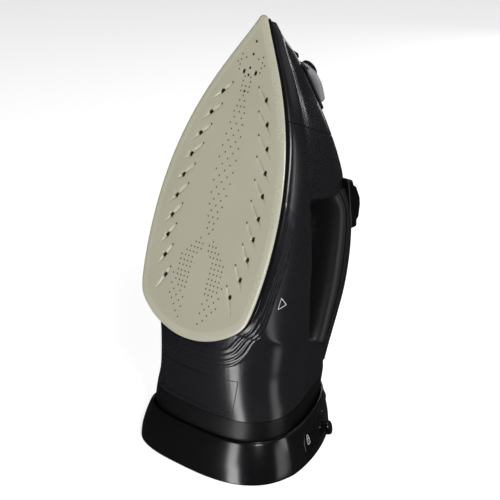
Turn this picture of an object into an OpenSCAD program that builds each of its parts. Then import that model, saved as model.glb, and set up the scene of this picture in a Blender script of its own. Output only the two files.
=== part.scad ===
// Steam iron standing on its heel in a powered dock.
// Row frame: Z up, dock base face on z = 0, soleplate towards -Y, handle towards +Y, width along X.
// The iron has its own frame: x across, y from heel to nose, z from the soleplate's face to the handle.

/* [Stance] */
// Backward lean of the parked iron, in degrees
lean = 20; // [20:0.5:20.5]
// Height of the soleplate's heel edge above the dock base
heel_z = 90.5; // [90:0.5:92]
// Distance of that edge in front of the origin
heel_y = 61.4; // [61:0.1:61.8]

/* [Soleplate] */
// Length from heel to nose tip
sole_l = 215; // [213:1:216]
// Half width at the widest place
sole_w = 56; // [55:0.5:56.5]
// Thickness with the rolled edge
sole_t = 5.5; // [4.5:0.5:5.5]
// Radius of the big steam holes
vent_r = 1.6; // [1:0.1:2]
// Height of the gasket's top face
gasket_top = 9; // [8.6:0.1:9]

/* [Body] */
// Wall of the moulded shells
wall = 2.4; // [1.8:0.1:2.6]
// Half width of the handle
grip_w = 17.5; // [17.2:0.1:17.6]
// Steps of a section between two of its points
fine = 4; // [3:1:5]

/* [Controls] */
// Radius of the temperature dial
dial_r = 19; // [16:0.5:19]
// Place of the dial along the iron
dial_y = 84; // [82:0.5:85]
// Place of the two pumps along the iron
pump_y = 116; // [115:0.5:117]
// Sideways place of the two thumb keys
key_x = 7.2; // [7:0.1:7.4]
// Travel of the thumb keys
key_travel = 3; // [2:0.5:3]

/* [Dock] */
// Height of the well's floor, on which the heel stands
well_z = 12; // [12:0.1:12.2]
// Radius of the hole for the mains lead
inlet_r = 3.6; // [3:0.1:4]
// Turn of the side panel that carries the lock
lock_turn = 27.5; // [27:0.1:28]
// Travel of the lock knob
lock_travel = 8; // [5:0.5:8]

/* [Hidden] */
$fn = 48;
eps = 0.01;
plan_y = -24; // where both plan outlines are widest
hinge = [190.4, 44.8]; // axis of the filler door's pin, y and z in the iron's frame
contacts = [-12, 0, 12]; // x of the three power contacts
contact_y = -14;
coil_turns = 4;
sole_bolts = [[0, 170], [-28, 22], [28, 22]]; // x and y in the iron's frame
FEET = [[-40, -42], [40, -42], [-22, 38], [22, 38]]; // x and y under the dock
PILLARS = [[-46, -20], [46, -20], [-12, 46], [12, 46]]; // the base plate's screw pillars

// Body sections from the heel's foot to the nose. Each plane is y = place + slant * z. The lower
// half is a superellipse from the keel up to the widest point, the upper half a spline over the
// shoulder, the flank and the ridge to the top.
// [place, slant, keel, width, waist, power, shoulder x z, flank x z, ridge x z, top]
RIBS = [
    [-83.5, 0.364, 32.5, 54, 62, 2.8, 49, 80, 39, 101, 21, 127, 137.5],
    [-68, 0.364, 27, 54, 57, 2.8, 49, 75, 39, 96, 20.5, 126, 136.8],
    [-54.8, 0.364, 24.5, 53.5, 53, 2.7, 49, 71, 38, 93, 20, 125, 137],
    [-38, 0.26, 19.5, 53, 48, 2.4, 48, 68, 35.5, 90, 19.5, 124, 136.8],
    [-22, 0.17, 14, 53, 44, 2.3, 47, 66, 34, 88, 19, 123.5, 136.5],
    [-9, 0.1, 9.5, 53, 41, 2.3, 46, 66, 33.5, 86, 18.6, 122.5, 135.6],
    [9.2, 0, 7.5, 53, 38, 2.5, 45.5, 65, 34.5, 84, 18.2, 121, 133.8],
    [13.5, 0, 8.2, 53, 35, 3, 45, 64, 37, 81.5, 20, 92, 97],
    [20, 0, 9, 52.6, 31, 4, 45.5, 61, 38.5, 77, 20, 72, 68.5],
    [40, 0, 9, 53, 26, 6, 47, 54, 38.5, 69, 20, 64, 62],
    [68, 0, 9, 55, 22, 8, 48.5, 47, 37.5, 61, 20, 61.5, 60],
    [95, 0, 9, 53.6, 20, 8, 45.5, 41, 34, 53.5, 18, 61.5, 63],
    [103, 0, 9, 52.4, 20, 8, 43.5, 40, 32, 52.5, 17, 62.5, 66],
    [111, 0, 9, 51, 20, 8, 42, 40, 30, 56, 17, 92, 119.5],
    [126, 0, 9, 47.8, 20, 8, 38.5, 40, 29, 61, 17.5, 94, 113.5],
    [140, 0, 9, 43.8, 19, 8, 34.5, 38, 26.5, 58, 16.3, 85, 103],
    [152, 0, 9, 38.8, 18, 8, 30, 36, 23.5, 54, 15, 76, 91],
    [166, 0, 9, 32, 17, 8, 24, 32, 19.5, 47, 13, 63.5, 76],
    [182, 0, 9, 22.6, 15.5, 7, 17, 26, 14.2, 37, 9.5, 48, 56],
    [196, 0, 9, 13.4, 14, 6, 10, 20, 8.8, 27, 6, 34, 37.5],
    [206, 0, 9, 7.6, 12.5, 5, 5.8, 15.5, 4, 18, 2.2, 20, 21],
    [212.5, 0, 9, 2.6, 10.5, 4, 2, 11.2, 1.4, 12, 0.8, 12.6, 13]];
rib_band = 2;
rib_nose = 16;
rib_tip = 21;

// Handle sections: [outer y z, inner y z, half width]
GRIP = [
    [123, 110, 113, 84, grip_w - 2.5], [107, 121.3, 104.5, 97, grip_w - 1],
    [88.5, 128.6, 89, 102.5, grip_w - 0.5], [70, 133, 71, 105.8, grip_w], [50, 135.4, 51, 109, grip_w],
    [30, 134.8, 30, 110.5, grip_w], [12, 133.8, 12, 110.4, grip_w], [-4, 133.8, -4, 106, grip_w + 0.5]];

// Steam grooves: [inner tip y x, outer tip y x, hole y x]
GROOVES = [
    [168, 12.5, 155, 27.5, 162, 20], [153, 17.5, 140, 33, 147, 26], [138.5, 22.5, 125, 38, 132, 31],
    [125, 25.5, 111, 41, 117, 34.5], [110.5, 28.5, 96.5, 43.5, 102.5, 37], [97, 30, 81, 44.5, 88, 38.5],
    [83, 31, 67, 44, 74.5, 38.5], [69, 32, 53, 43, 61, 38], [55, 30.5, 38.5, 41, 47.5, 36],
    [40.5, 27.5, 22, 37, 35, 31]];

function blend4(a, b, c, d, t) =
    0.5 * (2 * b + (c - a) * t + (2 * a - 5 * b + 4 * c - d) * t * t + (3 * b - a - 3 * c + d) * t * t * t);
function at(list, i) = list[max(0, min(len(list) - 1, i))];
// A row of the table at a fractional index
function row(list, u) = let (i = floor(u), t = u - i)
    t < 1e-9 ? at(list, i) : blend4(at(list, i - 1), at(list, i), at(list, i + 1), at(list, i + 2), t);

// Right half of a section from keel to top, as [x, z]
function half_rib(r) = let (
    arc = [for (q = [0:7]) let (g = q * 90 / 8)
        [r[3] * pow(sin(g), 2 / r[5]), r[4] - (r[4] - r[2]) * pow(cos(g), 2 / r[5])]],
    p = [[r[6], 2 * r[4] - r[7]], [r[3], r[4]], [r[6], r[7]], [r[8], r[9]], [r[10], r[11]], [0, r[12]],
        [-r[10], r[11]]])
    concat(arc, [for (k = [0:3], j = [0:fine - 1]) blend4(p[k], p[k + 1], p[k + 2], p[k + 3], j / fine)],
        [p[5]]);
// Whole ring; inset draws it in towards its middle by about that much
function rib(u, inset = 0) = let (
    r = row(RIBS, u), h = half_rib(r), n = len(h), mid = (r[2] + r[12]) / 2,
    kz = max(0.3, 1 - 2 * inset / (r[12] - r[2])),
    ring = concat(h, [for (i = [n - 2:-1:1]) [-h[i][0], h[i][1]]]))
    [for (i = [len(ring) - 1:-1:0]) let (q = ring[i], z = mid + (q[1] - mid) * kz, x = abs(q[0]))
        [sign(q[0]) * max(x - inset, x / 4), r[0] + r[1] * z, z]];

// A closed skin over rings of equal length, with fans over both ends
module skin(rings) {
    n = len(rings[0]);
    m = len(rings);
    ends = [for (k = [0, m - 1]) [for (a = [0:2]) [for (q = rings[k]) q[a]] * [for (q = rings[k]) 1] / n]];
    points = concat([for (r = rings) each r], ends);
    sides = [for (k = [0:m - 2], i = [0:n - 1]) let (j = (i + 1) % n)
        each [[k * n + i, (k + 1) * n + i, k * n + j], [k * n + j, (k + 1) * n + i, (k + 1) * n + j]]];
    low = [for (i = [0:n - 1]) [m * n, i, (i + 1) % n]];
    high = [for (i = [0:n - 1]) [m * n + 1, (m - 1) * n + (i + 1) % n, (m - 1) * n + i]];
    polyhedron(points, concat(sides, low, high));
}
module one_mesh() resize([0, 0, 0]) children();
module iron_frame() translate([0, -heel_y, heel_z]) rotate([0, 0, 180]) rotate([90 + lean, 0, 0]) children();
module lock_frame() rotate([0, 0, lock_turn]) children();

// ---- outlines ----
function nose_half(y) = let (t = (y - 70) / 149) sole_w * (1 - pow(t, 2.1)) - 2.2 * sin(180 * pow(t, 4));
function heel_half(y) = let (a = sqrt(max(0.01, 150 * y - y * y)), b = sole_w * (1 - pow((70 - y) / 162, 2)))
    pow(pow(a, -20) + pow(b, -20), -1 / 20);
function sole_half(y) = y < 70 ? heel_half(y) : nose_half(y);
function sole_outline() = let (
    tip = sole_l - 2.6,
    right = concat([for (i = [1:12]) let (y = 22 * pow(i / 12, 2)) [sole_half(y), y]],
        [for (i = [1:30]) let (y = 22 + (tip - 22) * i / 30) [sole_half(y), y]]),
    cap = [for (g = [30:30:150]) [sole_half(tip) * cos(g), tip + 2.6 * sin(g)]])
    concat([[0, 0]], right, cap, [for (i = [len(right) - 1:-1:0]) [-right[i][0], right[i][1]]]);
module sole_plan(inset = 0) offset(delta = -inset) polygon(sole_outline());

// Plan of the dock and the heel: blunt in front, drawn out to the back
function plan_half(y, a, front, back) = let (v = y - plan_y)
    v < 0 ? a * pow(max(0, 1 - pow(-v / front, 2.8)), 1 / 2.8)
    : a * pow(max(0, 1 - pow(v / back, 1.35)), 1 / 1.6);
function plan_ring(a, front, back, z, n = 14) = let (
    ys = concat([for (i = [0:n - 1]) plan_y - front * cos(90 * i / n)], [plan_y],
        [for (i = [1:n]) plan_y + back * sin(90 * i / n)]),
    m = len(ys))
    concat([for (y = ys) [plan_half(y, a, front, back), y, z]],
        [for (i = [m - 2:-1:1]) [-plan_half(ys[i], a, front, back), ys[i], z]]);
module plan_plate(a, front, back, t)
    linear_extrude(t) polygon([for (q = plan_ring(a, front, back, 0)) [q[0], q[1]]]);

// ---- soleplate and heater ----
module groove(g) {
    along = [g[3] - g[1], g[2] - g[0]];
    l = norm(along);
    translate([g[1], g[0], -eps]) rotate([0, 0, atan2(along[1], along[0])])
        linear_extrude(0.8)
            polygon([[0, -1.5], [-1.2, -0.8], [-1.6, 0], [-1.2, 0.8], [0, 1.5], [l * 0.5, 1.1], [l, 0]]);
}
module soleplate() color([0.7, 0.68, 0.61]) iron_frame() difference() {
    union() {
        linear_extrude(1.2) sole_plan(1.1);
        translate([0, 0, 1.2]) linear_extrude(sole_t - 1.2) sole_plan();
    }
    translate([0, 0, 2.6]) linear_extrude(sole_t) sole_plan(3);
    for (g = GROOVES, side = [-1, 1]) scale([side, 1, 1]) {
        groove(g);
        translate([g[5], g[4], -1]) cylinder(r = vent_r, h = 5);
    }
    for (side = [-1, 1]) translate([side * 5.3, 177.3, -1]) cylinder(r = vent_r, h = 5);
    for (y = [197.4, 189, 180, 164.5]) translate([0, y, -1]) cylinder(r = 1, h = 5);
}
module sole_gasket() color([0.05, 0.05, 0.05]) iron_frame() difference() {
    union() {
        translate([0, 0, sole_t]) linear_extrude(gasket_top - sole_t) sole_plan(2.2);
        translate([0, 0, sole_t]) linear_extrude(16 - sole_t) sole_stretch(2.2, 40);
    }
    linear_extrude(30) sole_plan(4.2);
}
// The outline from the heel as far as y
module sole_stretch(inset, y) intersection() {
    sole_plan(inset);
    translate([-80, -5]) square([160, y + 5]);
}
module heater_casting() color([0.66, 0.67, 0.69]) iron_frame() difference() {
    translate([0, 0, 2.6]) linear_extrude(13.4) sole_stretch(4.6, 188);
    heater_path(3.7, 10.5, 140);
    translate([0, 110, 8]) linear_extrude(20) square([26, 100], center = true);
    for (g = GROOVES, side = [-1, 1]) translate([side * g[5], g[4], 2]) cylinder(r = vent_r, h = 7);
    for (p = sole_bolts) translate([p[0], p[1], 9]) cylinder(r = 1.6, h = 10);
}
// U-shaped run of the element: round at the nose end, legs back to the heel
module heater_path(r, z, leg) translate([0, 0, z]) {
    translate([0, 138, 0]) rotate_extrude(angle = 180) translate([22, 0]) circle(r);
    for (side = [-1, 1]) translate([side * 22, 138 + eps, 0]) rotate([90, 0, 0]) cylinder(r = r, h = leg);
}
module heating_element() color([0.5, 0.47, 0.44]) iron_frame() {
    heater_path(3.3, 10.5, 118);
    for (side = [-1, 1]) translate([side * 22, 20.5, 10.5]) rotate([90, 0, 0]) cylinder(r = 1.4, h = 8);
}
module steam_chamber_lid() color([0.72, 0.72, 0.74]) iron_frame() difference() {
    translate([0, 0, 16]) linear_extrude(1.4) sole_stretch(6.5, 187);
    for (p = sole_bolts) translate([p[0], p[1], 10]) cylinder(r = 2, h = 10);
    translate([0, 150, 10]) cylinder(r = 2.6, h = 10);
}
module thermostat() color([0.75, 0.7, 0.6]) iron_frame() translate([0, dial_y, 17.4]) {
    cylinder(r = 10, h = 6);
    translate([-4, -26, 0]) cube([8, 26, 1.2]);
    translate([0, 0, 6]) cylinder(r = 4.5, h = 2);
}
module thermal_fuse() color([0.8, 0.8, 0.76]) iron_frame() translate([18, 50, 19.4]) rotate([90, 0, 0]) {
    cylinder(r = 2, h = 12);
    translate([0, 0, -8]) cylinder(r = 0.6, h = 28);
}

// ---- moulded shells ----
function rings(u0, u1, inset, step = 0.5) = [for (u = [u0:step:u1 + eps]) rib(u, inset)];
module hollow(u0, u1, w = wall) difference() {
    skin(rings(u0, u1, 0));
    skin(concat([let (r = rib(u0, w)) [for (q = r) q - [0, 4, 0]]], rings(u0, u1, w),
        [let (r = rib(u1, w)) [for (q = r) q + [0, 4, 0]]]));
}
module sole_clearance() {
    translate([0, 0, -1]) linear_extrude(gasket_top + 1) sole_plan(2.2);
    translate([0, 0, -1]) linear_extrude(17.2) sole_stretch(2.2, 40.2);
    translate([0, 0, -1]) linear_extrude(20.2) sole_stretch(4.4, 189);
}
module body_shell() color([0.17, 0.17, 0.18]) iron_frame() one_mesh() difference() {
    hollow(rib_band, rib_nose);
    sole_clearance();
    translate([0, dial_y, 40]) cylinder(r = 3.6, h = 40);
    for (side = [-1, 1]) translate([side * key_x, pump_y, 60]) cylinder(r = 2.6, h = 80);
    key_room();
    panel_room();
}
module nose_shell() color([0.2, 0.2, 0.21]) iron_frame() one_mesh() difference() {
    skin([for (r = rings(rib_nose, rib_tip, 0)) [for (q = r) q + [0, 0.3, 0]]]);
    skin(concat([for (d = [-4]) [for (q = rib(rib_nose, wall)) q + [0, d, 0]]], rings(rib_nose, 19, wall)));
    sole_clearance();
    filler_mouth(9.5);
    hinge_room();
    nozzle_block(0.1);
}
module heel_band() color([0.12, 0.12, 0.13]) iron_frame() one_mesh() difference() {
    skin([for (k = [0, 0.5, 1, 1.5, 1.97]) rib(k)]);
    skin(concat([[for (q = rib(0, wall)) q - [0, 4, 0]]], [for (k = [0.4, 0.9, 1.4]) rib(k, wall)],
        [[for (q = rib(2, wall)) q + [0, 4, 0]]]));
}
module heel_plate() color([0.15, 0.15, 0.16]) difference() {
    translate([0, 0, well_z]) plan_plate(50, 28, 75, 2.5);
    for (x = contacts) translate([x, contact_y, 0]) cylinder(r = 3, h = 40);
    for (x = [-30, 30]) translate([x, -30, 0]) cylinder(r = 1.7, h = 40);
}
module rating_panel() color([0.16, 0.16, 0.17]) iron_frame() one_mesh() difference() {
    intersection() {
        panel_block(0.25);
        skin(rings(rib_band, 6, 0));
    }
    skin(rings(rib_band, 6, 1.3));
}
module panel_room() one_mesh() difference() {
    panel_block(0);
    skin(rings(rib_band, 6, 1.4));
}
// Upright block round the panel in the heel's front, given in the iron's frame
module panel_block(gap) rotate([-90 - lean, 0, 0]) rotate([0, 0, 180]) translate([0, heel_y, -heel_z])
    translate([-40 + gap, -70, 45 + gap]) cube([80 - 2 * gap, 40, 23 - 2 * gap]);

// ---- handle ----
function grip_ring(u, inset, from, to, n = 18) = let (
    g = row(GRIP, u), o = [g[0], g[1]], i = [g[2], g[3]], c = (o + i) / 2, v = (o - i) / 2,
    k = 1 - inset / norm(v), w = g[4] - inset)
    [for (j = [0:n]) let (a = from + (to - from) * j / n, x = sign(cos(a)) * pow(abs(cos(a)), 0.72),
        z = sign(sin(a)) * pow(abs(sin(a)), 0.72))
        [w * x, c[0] + v[0] * k * z, c[1] + v[1] * k * z]];
// Half of the handle: an outer arc, and an inner arc back
module half_grip(from, to, gap) skin([for (u = [0.45:0.35:6.4]) concat(
    [for (q = grip_ring(u, 0, from + gap, to - gap)) q],
    [for (q = grip_ring(u, wall, to - gap, from + gap)) q])]);
module handle_top() color([0.15, 0.15, 0.16]) iron_frame() one_mesh() difference() {
    half_grip(0, 180, 0.4);
    body_core();
    key_room();
}
module handle_underside() color([0.11, 0.11, 0.12]) iron_frame() one_mesh() difference() {
    half_grip(180, 360, 0.4);
    body_core();
}
module body_core() skin([for (u = [5:0.5:15]) [for (q = rib(u, -0.05)) q]]);

// ---- thumb keys and pumps ----
PROFILE = [[123, 114], [122.5, 117.5], [116.5, 123.5], [108, 126.5], [100, 127.6], [98, 126], [98.5, 123]];
module key_form(grow, drops) hull() for (q = PROFILE, x = [2.6, 12.2], d = drops)
    translate([x, q[0] + (q[0] > 110 ? -2 : 2), q[1] - d]) sphere(r = 2 + grow, $fn = 18);
module key(side) difference() {
    scale([side, 1, 1]) key_form(0, [0]);
    translate([side * key_x, pump_y, 100]) cylinder(r = 1.65, h = 18.5);
}
module key_room() for (side = [-1, 1]) scale([side, 1, 1]) key_form(0.35, [0, key_travel + 0.4]);
module steam_key() color([0.1, 0.1, 0.11]) iron_frame() key(1);
module spray_key() color([0.1, 0.1, 0.11]) iron_frame() key(-1);
POD = [[124, 106], [124, 109], [116, 116], [107, 120.5], [96, 124.5], [94.5, 121]];
module pod_block() hull() for (q = POD, x = [-14.5, 14.5]) translate([x, q[0], q[1]]) sphere(r = 2, $fn = 16);
module key_pod() color([0.08, 0.08, 0.09]) iron_frame() one_mesh() difference() {
    pod_block();
    body_core();
    skin([for (u = [0:0.5:7]) grip_ring(u, -0.3, 0, 345, 23)]);
    key_room();
    for (side = [-1, 1]) translate([side * key_x, pump_y, 90]) cylinder(r = 1.9, h = 40);
}
module plunger(side) translate([side * key_x, pump_y, 0]) {
    translate([0, 0, 78]) cylinder(r = 1.6, h = 40);
    translate([0, 0, 74]) cylinder(r = 4, h = 4);
}
module steam_plunger() color([0.85, 0.85, 0.82]) iron_frame() plunger(1);
module spray_plunger() color([0.85, 0.85, 0.82]) iron_frame() plunger(-1);
module pump(side) translate([side * key_x, pump_y, 0]) difference() {
    translate([0, 0, 54]) cylinder(r = 5.2, h = 30);
    translate([0, 0, 57]) cylinder(r = 4.06, h = 25.5);
    translate([0, 0, 80]) cylinder(r = 2.1, h = 10);
    translate([0, 0, 50]) cylinder(r = 1, h = 10);
}
module steam_pump() color([0.8, 0.8, 0.78]) iron_frame() pump(1);
module spray_pump() color([0.8, 0.8, 0.78]) iron_frame() pump(-1);
module spring(side) translate([side * key_x, pump_y, 57.3])
    linear_extrude(16.4, twist = -360 * coil_turns, slices = 44, segments = 6, $fn = 6)
        translate([2.6, 0]) circle(0.7);
module steam_spring() color([0.75, 0.75, 0.78]) iron_frame() spring(1);
module spray_spring() color([0.75, 0.75, 0.78]) iron_frame() spring(-1);

// ---- water ----
module tank_block(inset) hull() {
    translate([0, 0, 20 + inset]) linear_extrude(1) offset(delta = -11 - inset) tank_plan();
    translate([0, 0, 34 - inset]) linear_extrude(1) offset(delta = -15 - inset) tank_plan();
    translate([0, 0, 46 - inset]) linear_extrude(1) offset(delta = -24 - inset) tank_plan();
}
module tank_plan() intersection() {
    polygon(sole_outline());
    translate([-60, 96]) square([120, 110]);
}
module water_tank() color([0.6, 0.65, 0.7, 0.5]) iron_frame() difference() {
    tank_block(0);
    tank_block(1.6);
    translate([0, 168, 30]) cylinder(r = 4, h = 30);
    translate([0, 150, 10]) cylinder(r = 2.2, h = 20);
}
module drip_valve() color([0.8, 0.8, 0.75]) iron_frame() translate([0, 150, 17.4]) difference() {
    cylinder(r = 2.1, h = 12);
    translate([0, 0, -1]) cylinder(r = 0.8, h = 20);
}
NOZZLE = [[195.8, 32], [198.6, 31], [197.6, 37.5], [196.2, 38.5]];
module nozzle_block(grow) hull() for (q = NOZZLE, x = [-2.2, 2.2])
    translate([x, q[0], q[1]]) sphere(r = 1 + grow, $fn = 16);
module spray_nozzle() color([0.06, 0.06, 0.06]) iron_frame() difference() {
    nozzle_block(0);
    translate([0, 192, 36]) rotate([-90, 0, 0]) cylinder(r = 0.7, h = 12);
}
module spray_tube() color([0.8, 0.8, 0.8]) iron_frame() translate([-key_x, pump_y, 0]) {
    translate([0, 0, 49]) cylinder(r = 1.5, h = 5);
    translate([0, 0, 49]) rotate([-90, 0, 0]) cylinder(r = 1.5, h = 52);
}

// ---- filler ----
module mouth_frame() translate([0, 180, 43]) rotate([-42, 0, 0]) children();
module filler_mouth(r) mouth_frame() cylinder(r = r, h = 30);
module hinge_rod(r, reach) translate([-reach, hinge[0], hinge[1]]) rotate([0, 90, 0])
    cylinder(r = r, h = 2 * reach);
// Where the door's lip swings, between the two ears of the frame
module hinge_room() hinge_rod(3.8, 7.55);
// Balls of the door: [y, z, half spread across]
DOOR = [[190.8, 44.8, 4], [187.5, 52, 6], [182, 58, 7], [173.5, 65.5, 6.5]];
module door_block(grow) hull() for (q = DOOR, side = [-1, 1])
    translate([side * q[2], q[0], q[1]]) sphere(r = 3 + grow, $fn = 20);
module slope_core(gap) skin([for (u = [rib_nose - 1:0.5:rib_tip]) [for (q = rib(u, -gap)) q + [0, gap, 0]]]);
module filler_bezel() color([0.05, 0.05, 0.05]) iron_frame() one_mesh() difference() {
    hull() for (q = [[191, 41.5, 6], [168.5, 67.5, 8.6]], side = [-1, 1])
        translate([side * q[2], q[0], q[1]]) sphere(r = 3.6, $fn = 20);
    slope_core(0.4);
    door_block(0.35);
    filler_mouth(9.4);
    hinge_room();
    hinge_rod(1.03, 8.65);
}
module filler_door() color([0.4, 0.4, 0.43]) iron_frame() one_mesh() difference() {
    union() {
        difference() {
            door_block(0);
            slope_core(1.9);
        }
        intersection() {
            door_block(0);
            hinge_rod(3.6, 5);
        }
    }
    hinge_rod(1.05, 20);
    mouth_frame() cylinder(r = 7, h = 16.6);
}
module door_hinge_pin() color([0.7, 0.7, 0.72]) iron_frame() hinge_rod(1, 8.6);
module door_seal() color([0.3, 0.3, 0.3]) iron_frame() mouth_frame() translate([0, 0, 12])
    difference() {
        cylinder(r = 6.8, h = 4.5);
        translate([0, 0, -1]) cylinder(r = 4.8, h = 4);
    }

// ---- temperature control ----
module temperature_dial() color([0.13, 0.13, 0.14]) iron_frame() translate([0, dial_y, 0]) difference() {
    rotate_extrude() polygon([[0, 68], [dial_r - 1, 68], [dial_r, 69], [dial_r, 80.5], [dial_r - 1.5, 82],
        [dial_r - 5, 82], [dial_r - 6, 81.4], [0, 81.4]]);
    for (g = [0:15:345]) rotate([0, 0, g]) translate([dial_r + 0.5, 0, 67]) cylinder(r = 1.1, h = 20);
    translate([0, 0, 60]) cylinder(r = 3, h = 14);
}
module dial_spindle() color([0.8, 0.75, 0.6]) iron_frame() translate([0, dial_y, 25.6])
    cylinder(r = 3, h = 48.4);

// ---- power in the heel ----
module heel_socket_block() color([0.85, 0.83, 0.78]) translate([0, contact_y, well_z + 2.5]) difference() {
    translate([-20, -8, 0]) cube([40, 16, 16]);
    for (x = contacts) translate([x, 0, -1]) cylinder(r = 3, h = 15);
}
module heel_sockets() color([0.75, 0.62, 0.3]) for (x = contacts) translate([x, contact_y, well_z + 0.5])
    difference() {
        cylinder(r = 2.95, h = 15);
        translate([0, 0, -1]) cylinder(r = 2.2, h = 13);
    }
module wire_harness() color([0.7, 0.15, 0.1]) iron_frame() for (x = contacts) translate([x, 0, 0]) {
    translate([0, 30, 30]) rotate([90, 0, 0]) cylinder(r = 1.2, h = 55);
    translate([0, 30, 30]) sphere(r = 1.2);
}
module sole_screws() color([0.75, 0.75, 0.77]) iron_frame() for (p = sole_bolts)
    translate([p[0], p[1], 11]) {
        cylinder(r = 1.5, h = 6.4);
        translate([0, 0, 6.4]) cylinder(r = 2.8, h = 1.6);
    }
module handle_screws() color([0.75, 0.75, 0.77]) for (x = [-30, 30]) translate([x, -30, well_z + 0.6]) {
    cylinder(r = 1.65, h = 10);
    translate([0, 0, 1.9]) cylinder(r = 1.65, h = 3);
}
module latch_keeper() color([0.7, 0.7, 0.72]) lock_frame() {
    translate([30, -10.5, 4]) cube([7, 2.5, well_z - 4]);
    translate([30, -8, 4]) cube([7, 7, 1.6]);
}

// ---- dock ----
// Wall profile round the well: [half width, front reach, back reach, z]
SHELL = [
    [64.2, 42, 94, 0], [63.4, 41.2, 93.4, 8], [61, 38.6, 91.6, 17], [58.2, 35.6, 89.9, 24.6],
    [57.4, 34.9, 89.3, 26], [56.6, 34.3, 88.6, 26.5], [55.9, 33.7, 87.7, 26.1], [55.6, 33.4, 87.2, 25],
    [55.3, 33.2, 83.6, 12], [55.2, 33.1, 83, 9.6], [57, 34.9, 84.8, 9.6], [57.1, 35, 87, 22],
    [58.5, 36.4, 89.2, 16], [60.8, 38.6, 90.8, 8], [61.6, 39.4, 91.6, 0]];
module dock_ring() {
    loops = [for (s = SHELL) plan_ring(s[0], s[1], s[2], s[3])];
    n = len(loops[0]);
    m = len(SHELL);
    polyhedron([for (l = loops) each l], [for (k = [0:m - 1], i = [0:n - 1])
        let (j = (i + 1) % n, q = (k + 1) % m)
        each [[k * n + i, q * n + i, k * n + j], [k * n + j, q * n + i, q * n + j]]]);
}
module lock_slot() lock_frame() translate([40, 4.8 - lock_travel, 5.2]) cube([20, 8.4 + lock_travel, 4.2]);
module gland_hole(r) translate([0, 59.5, 7.5]) rotate([-90, 0, 0]) cylinder(r = r, h = 20);
module dock_shell() color([0.12, 0.12, 0.13]) one_mesh() difference() {
    dock_ring();
    lock_slot();
    gland_hole(4.9);
    panel_recess();
}
// The dock's outer form as a solid, grown or shrunk
module dock_form(grow) skin([for (k = [0:5]) let (q = SHELL[k])
    plan_ring(q[0] + grow, q[1] + grow, q[2] + grow, q[3])]);
module panel_prism(gap) lock_frame() translate([40, -7, 11.8]) rotate([90, 0, 90]) linear_extrude(24)
    offset(r = 3 - gap, $fn = 32) square([44, 9], center = true);
module panel_recess() one_mesh() difference() {
    panel_prism(0);
    dock_form(-1.1);
}
module lock_panel() color([0.02, 0.02, 0.02]) one_mesh() difference() {
    intersection() {
        dock_form(0.5);
        panel_prism(0.12);
    }
    dock_form(-1);
    lock_slot();
    lock_frame() hull() for (d = [0, lock_travel]) translate([0, -d, 0]) knob(5.4, 6);
}
module dock_base_plate() color([0.1, 0.1, 0.1]) difference() {
    plan_plate(61, 38.8, 91, 2.5);
    for (p = FEET) translate([p[0], p[1], -1]) cylinder(r = 6, h = 2);
    for (p = PILLARS) translate([p[0], p[1], -1]) cylinder(r = 1.7, h = 5);
}
module dock_tray() color([0.11, 0.11, 0.12]) difference() {
    translate([0, 0, well_z - 2]) plan_plate(54.9, 32.8, 82.6, 2);
    for (x = contacts) translate([x, contact_y, 0]) cylinder(r = 2.6, h = 40);
    lock_frame() translate([29.4, -11.1, 5]) cube([8.2, 10.7, 10]);
}
module contact_block() color([0.8, 0.78, 0.72]) translate([-20, -22, 2.5]) difference() {
    cube([40, 16, 7.5]);
    for (x = [8, 20, 32]) translate([x, 8, 1]) cylinder(r = 1.95, h = 10);
}
module contact_pins() color([0.78, 0.66, 0.32]) for (x = contacts) translate([x, contact_y, 3.5]) {
    cylinder(r = 1.9, h = 16);
    translate([0, 0, 16]) cylinder(r1 = 1.9, r2 = 1, h = 2);
}
module dock_feet() color([0.15, 0.15, 0.15]) for (p = FEET) translate([p[0], p[1], -0.8])
    cylinder(r = 5.9, h = 1.8);
module dock_screws() color([0.7, 0.7, 0.72]) for (p = PILLARS) translate([p[0], p[1], 0.5]) {
    cylinder(r = 1.6, h = 2);
    translate([0, 0, 2]) cylinder(r = 2.9, h = 7.4);
}
module cord_gland() color([0.1, 0.1, 0.1]) translate([0, 60, 7.5]) rotate([-90, 0, 0]) difference() {
    union() {
        cylinder(r = 4.8, h = 10.2);
        translate([0, 0, 10.2]) cylinder(r = 6.2, h = 1.8);
    }
    translate([0, 0, -1]) cylinder(r = inlet_r, h = 20);
}
module mains_terminal() color([0.9, 0.9, 0.88]) translate([-10, 26, 2.5]) difference() {
    cube([20, 12, 6.5]);
    for (x = [5, 15]) translate([x, -1, 3.4]) rotate([-90, 0, 0]) cylinder(r = 1.2, h = 14);
}
// ---- lock ----
// The round button, standing on the wall's slope
module knob(r, h) translate([51.9, 9, 8.6]) rotate([0, 75, 0]) cylinder(r = r, h = h);
module lock_slider() color([0.16, 0.16, 0.17]) lock_frame() {
    knob(5, 3);
    translate([43, 5.4, 6]) cube([9.6, 7.2, 3]);
}
module lock_bar() color([0.7, 0.7, 0.72]) lock_frame() {
    translate([31, 5.4, 6.2]) cube([12, 7.2, 2.6]);
    translate([31, 2, 6.2]) cube([5, 3.4, 2.6]);
}

soleplate();
sole_gasket();
heater_casting();
heating_element();
steam_chamber_lid();
thermostat();
thermal_fuse();
body_shell();
nose_shell();
heel_band();
heel_plate();
handle_top();
handle_underside();
key_pod();
steam_key();
spray_key();
steam_plunger();
spray_plunger();
steam_pump();
spray_pump();
steam_spring();
spray_spring();
water_tank();
drip_valve();
spray_nozzle();
spray_tube();
filler_bezel();
filler_door();
door_seal();
door_hinge_pin();
temperature_dial();
dial_spindle();
heel_socket_block();
heel_sockets();
wire_harness();
sole_screws();
handle_screws();
latch_keeper();
rating_panel();
dock_shell();
dock_base_plate();
dock_tray();
contact_block();
contact_pins();
dock_feet();
dock_screws();
cord_gland();
lock_panel();
lock_slider();
lock_bar();
mains_terminal();
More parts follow.
